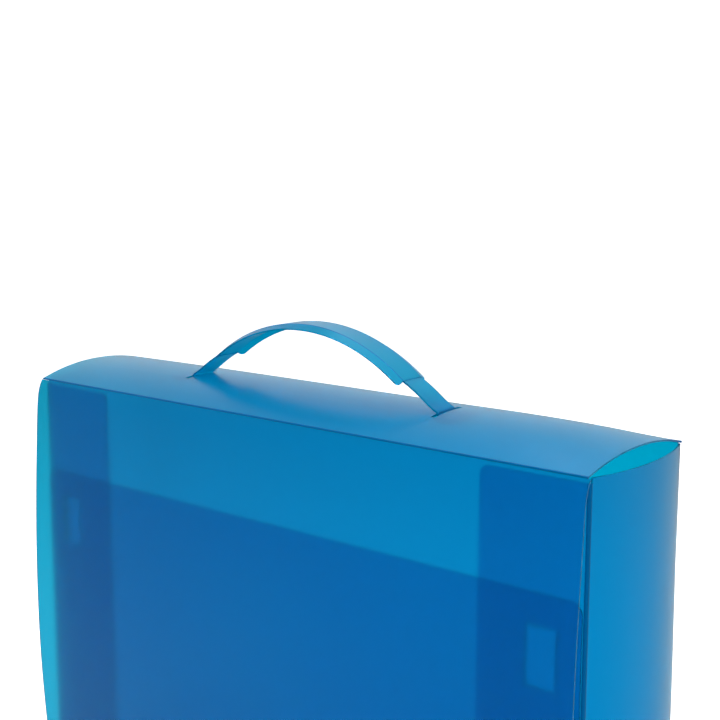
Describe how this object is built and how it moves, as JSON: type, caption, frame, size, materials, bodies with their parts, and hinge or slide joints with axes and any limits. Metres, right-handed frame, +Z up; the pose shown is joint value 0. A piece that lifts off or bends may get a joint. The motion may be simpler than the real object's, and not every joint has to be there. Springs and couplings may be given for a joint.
{
  "type": "archival box",
  "caption": "Translucent folding plastic storage box for documents: bowed front cover over an inner wall, domed top with a strap handle, press-stud closure.",
  "frame": {"origin": "on the floor, below the middle of the whole object", "axes": "+X along the length, -Y to the front cover, +Z up"},
  "size_m": [0.352, 0.0865, 0.29],
  "materials": {
    "frosted_sheet": "frosted translucent blue polypropylene sheet, fine matt grain",
    "fold_line": "pressed fold line, smoother and darker than the sheet",
    "strap": "frosted translucent blue polypropylene strap",
    "press_stud": "moulded translucent blue plastic"
  },
  "bodies": {
    "case": {"back_bottom_crease": "fold_line", "back_left_crease": "fold_line", "back_panel": "frosted_sheet", "back_right_crease": "fold_line", "bottom_panel": "frosted_sheet", "front_bottom_crease": "fold_line", "front_left_crease": "fold_line", "front_right_crease": "fold_line", "inner_front_wall": "frosted_sheet", "left_end_tab": "frosted_sheet", "left_front_flap": "frosted_sheet", "left_lock_tongue": "frosted_sheet", "left_side_panel": "frosted_sheet", "left_stud": "press_stud", "left_tab_crease": "fold_line", "right_end_tab": "frosted_sheet", "right_front_flap": "frosted_sheet", "right_lock_tongue": "frosted_sheet", "right_side_panel": "frosted_sheet", "right_stud": "press_stud", "right_tab_crease": "fold_line"},
    "top": {"top_panel": "frosted_sheet", "top_back_crease": "fold_line"},
    "cover": {"front_cover": "frosted_sheet", "top_front_crease": "fold_line", "left_stud_cap": "press_stud", "right_stud_cap": "press_stud", "left_stud_socket": "press_stud", "right_stud_socket": "press_stud"},
    "handle": {"handle_grip": "strap", "left_handle_leg": "strap", "right_handle_leg": "strap"},
    "left_anchor": {"left_handle_anchor": "strap"},
    "right_anchor": {"right_handle_anchor": "strap"}
  },
  "joints": [
    {"name": "top_hinge", "type": "hinge", "parent": "case", "child": "top", "pos_m": [0, 0.04276, 0.2495], "axis": [-1, 0, 0], "range_deg": [0, 170]},
    {"name": "cover_hinge", "type": "hinge", "parent": "top", "child": "cover", "pos_m": [0, -0.03424, 0.2495], "axis": [-1, 0, 0], "range_deg": [0, 170]},
    {"name": "handle_lower", "type": "slide", "parent": "top", "child": "handle", "axis": [0, 0, -1], "range_m": [0, 0.0093], "deforming": ["left_handle_leg", "right_handle_leg"]},
    {"name": "left_anchor_slide", "type": "slide", "parent": "top", "child": "left_anchor", "axis": [-1, 0, 0], "range_m": [0, 0.004]},
    {"name": "right_anchor_slide", "type": "slide", "parent": "top", "child": "right_anchor", "axis": [1, 0, 0], "range_m": [0, 0.004]}
  ],
  "couplings": [
    {"joint": "left_anchor_slide", "follows": "handle_lower", "ratio": 0.42},
    {"joint": "right_anchor_slide", "follows": "handle_lower", "ratio": 0.42}
  ]
}
